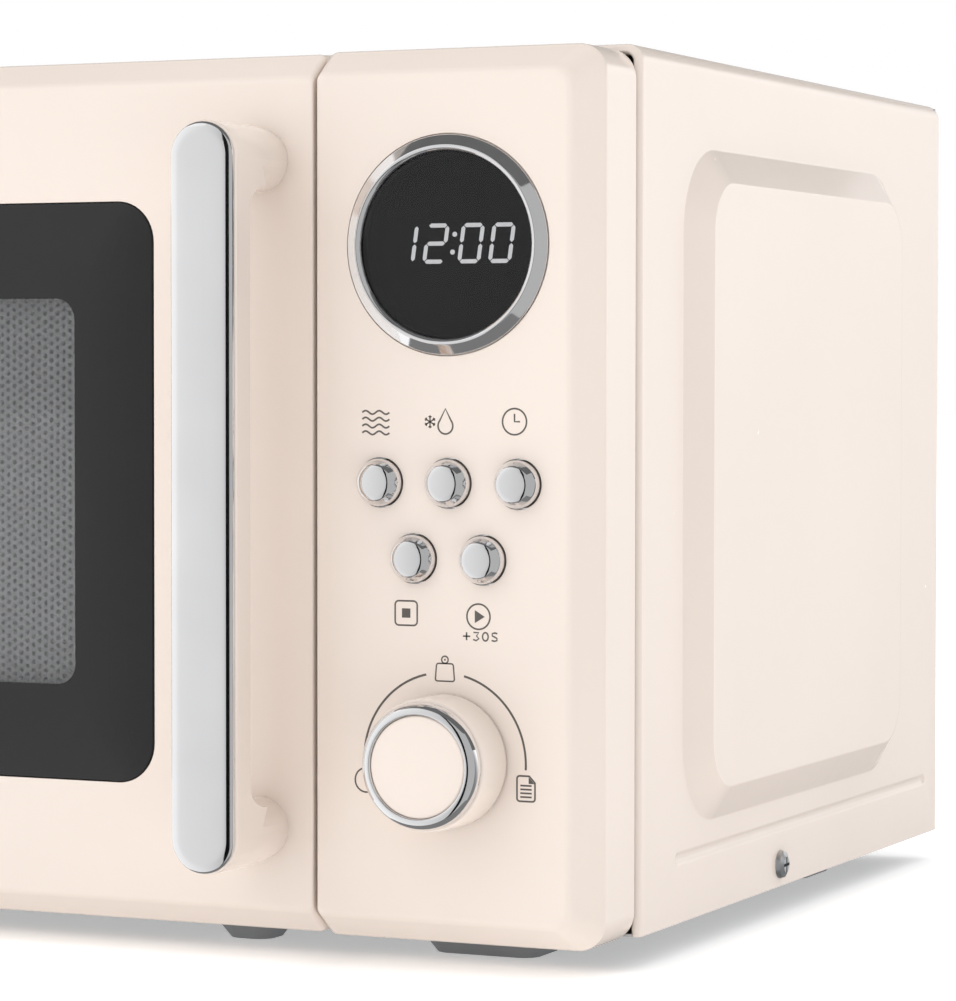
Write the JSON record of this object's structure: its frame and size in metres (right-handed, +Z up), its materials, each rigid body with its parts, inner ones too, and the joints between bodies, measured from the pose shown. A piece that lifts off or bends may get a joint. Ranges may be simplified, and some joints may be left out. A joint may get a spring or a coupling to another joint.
{
  "type": "microwave oven",
  "caption": "Countertop microwave oven in a rounded retro style, with a hinged glass door, a bar handle, a control panel with a knob and round buttons, and a turntable inside.",
  "frame": {"origin": "bottom centre of the whole object, on the plane that the feet stand on", "axes": "+Z up, the front faces -Y, +X to the right when the door is faced"},
  "size_m": [0.454, 0.35, 0.26],
  "materials": {
    "cream_paint": "satin powder coat",
    "cream_plastic": "glossy moulded plastic",
    "plated_trim": "polished plating",
    "door_pane": "dark glass with a black printed border",
    "dark_lens": "smoked lens",
    "galvanised": "bare zinc-coated sheet",
    "cavity_enamel": "grey baked enamel",
    "screen_steel": "dark perforated steel",
    "grey_plastic": "fine moulded texture",
    "white_plastic": "natural acetal",
    "clear_film": "clear inner window",
    "tray_glass": "toughened clear glass",
    "circuit_board": "solder mask",
    "steel": "zinc plated",
    "winding": "varnished copper and laminations",
    "aluminium": "bare",
    "mica": "pressed mica sheet",
    "foot_rubber": "grey moulded rubber"
  },
  "bodies": {
    "cabinet": {"outer_cabinet": "cream_paint", "base_plate": "galvanised", "rear_panel": "galvanised", "front_plate": "cream_paint", "cavity_shell": "cavity_enamel", "feet": "foot_rubber", "control_panel": "cream_plastic", "display_ring": "plated_trim", "display_lens": "dark_lens", "display_module": "grey_plastic", "control_board": "circuit_board", "button_switches": "grey_plastic", "encoder_body": "grey_plastic", "latch_board": "white_plastic", "door_switches": "grey_plastic", "hinge_brackets": "steel", "hinge_pins": "steel", "cavity_lamp": "white_plastic", "waveguide": "galvanised", "waveguide_cover": "mica", "magnetron": "aluminium", "transformer": "winding", "capacitor": "aluminium", "diode": "grey_plastic", "fan_motor": "steel", "fan_duct": "grey_plastic", "thermal_cutouts": "grey_plastic", "filter_board": "circuit_board", "turntable_motor": "steel", "cord_gland": "grey_plastic", "rear_spacers": "foot_rubber", "cabinet_screws": "steel"},
    "door": {"door_frame": "cream_plastic", "door_glass": "door_pane", "mesh_screen": "screen_steel", "door_inner_frame": "galvanised", "choke_cover": "grey_plastic", "inner_window": "clear_film", "handle_body": "cream_plastic", "handle_strip": "plated_trim", "handle_screws": "steel", "hinge_bushes": "white_plastic"},
    "latch": {"latch_hooks": "white_plastic", "latch_spring": "steel"},
    "button_power": {"button_power": "plated_trim"},
    "button_defrost": {"button_defrost": "plated_trim"},
    "button_clock": {"button_clock": "plated_trim"},
    "button_stop": {"button_stop": "plated_trim"},
    "button_start": {"button_start": "plated_trim"},
    "knob": {"knob_body": "cream_plastic", "knob_ring": "plated_trim", "knob_cap": "cream_plastic", "encoder_shaft": "steel"},
    "drive_coupler": {"drive_coupler": "white_plastic"},
    "glass_tray": {"glass_tray": "tray_glass"},
    "roller_ring": {"roller_ring": "white_plastic"},
    "roller_wheel_1": {"roller_wheel_1": "white_plastic"},
    "roller_wheel_2": {"roller_wheel_2": "white_plastic"},
    "roller_wheel_3": {"roller_wheel_3": "white_plastic"},
    "fan_impeller": {"fan_impeller": "grey_plastic"}
  },
  "joints": [
    {"name": "door_hinge", "type": "hinge", "parent": "cabinet", "child": "door", "pos_m": [-0.211, -0.1305, 0.1335], "axis": [0, 0, -1], "range_deg": [0, 100]},
    {"name": "latch_slide", "type": "slide", "parent": "door", "child": "latch", "axis": [0, 0, 1], "range_m": [0, 0.0035], "stiffness_N_per_m": 300, "springref_m": -0.004, "deforming": ["latch_spring"]},
    {"name": "power_press", "type": "slide", "parent": "cabinet", "child": "button_power", "axis": [0, 1, 0], "range_m": [0, 0.0012], "stiffness_N_per_m": 900, "springref_m": -0.0002},
    {"name": "defrost_press", "type": "slide", "parent": "cabinet", "child": "button_defrost", "axis": [0, 1, 0], "range_m": [0, 0.0012], "stiffness_N_per_m": 900, "springref_m": -0.0002},
    {"name": "clock_press", "type": "slide", "parent": "cabinet", "child": "button_clock", "axis": [0, 1, 0], "range_m": [0, 0.0012], "stiffness_N_per_m": 900, "springref_m": -0.0002},
    {"name": "stop_press", "type": "slide", "parent": "cabinet", "child": "button_stop", "axis": [0, 1, 0], "range_m": [0, 0.0012], "stiffness_N_per_m": 900, "springref_m": -0.0002},
    {"name": "start_press", "type": "slide", "parent": "cabinet", "child": "button_start", "axis": [0, 1, 0], "range_m": [0, 0.0012], "stiffness_N_per_m": 900, "springref_m": -0.0002},
    {"name": "knob_turn", "type": "hinge", "parent": "cabinet", "child": "knob", "pos_m": [0.1759, -0.1395, 0.0606], "axis": [0, -1, 0], "continuous": true},
    {"name": "coupler_spin", "type": "hinge", "parent": "cabinet", "child": "drive_coupler", "pos_m": [-0.054, 0.0199, 0.032], "axis": [0, 0, 1], "continuous": true},
    {"name": "tray_lift", "type": "slide", "parent": "drive_coupler", "child": "glass_tray", "axis": [0, 0, 1], "range_m": [0, 0.025]},
    {"name": "ring_spin", "type": "hinge", "parent": "cabinet", "child": "roller_ring", "pos_m": [-0.054, 0.0199, 0.03935], "axis": [0, 0, 1], "continuous": true},
    {"name": "wheel_1_spin", "type": "hinge", "parent": "roller_ring", "child": "roller_wheel_1", "pos_m": [0.02481, 0.0654, 0.03935], "axis": [0.866, 0.5, 0], "continuous": true},
    {"name": "wheel_2_spin", "type": "hinge", "parent": "roller_ring", "child": "roller_wheel_2", "pos_m": [-0.13281, 0.0654, 0.03935], "axis": [-0.866, 0.5, 0], "continuous": true},
    {"name": "wheel_3_spin", "type": "hinge", "parent": "roller_ring", "child": "roller_wheel_3", "pos_m": [-0.054, -0.0711, 0.03935], "axis": [0, -1, 0], "continuous": true},
    {"name": "fan_spin", "type": "hinge", "parent": "cabinet", "child": "fan_impeller", "pos_m": [0.158, 0.1465, 0.19], "axis": [0, 1, 0], "continuous": true}
  ],
  "couplings": [
    {"joint": "ring_spin", "follows": "coupler_spin", "ratio": 0.5},
    {"joint": "wheel_1_spin", "follows": "coupler_spin", "ratio": -6.5},
    {"joint": "wheel_2_spin", "follows": "coupler_spin", "ratio": -6.5},
    {"joint": "wheel_3_spin", "follows": "coupler_spin", "ratio": -6.5}
  ]
}
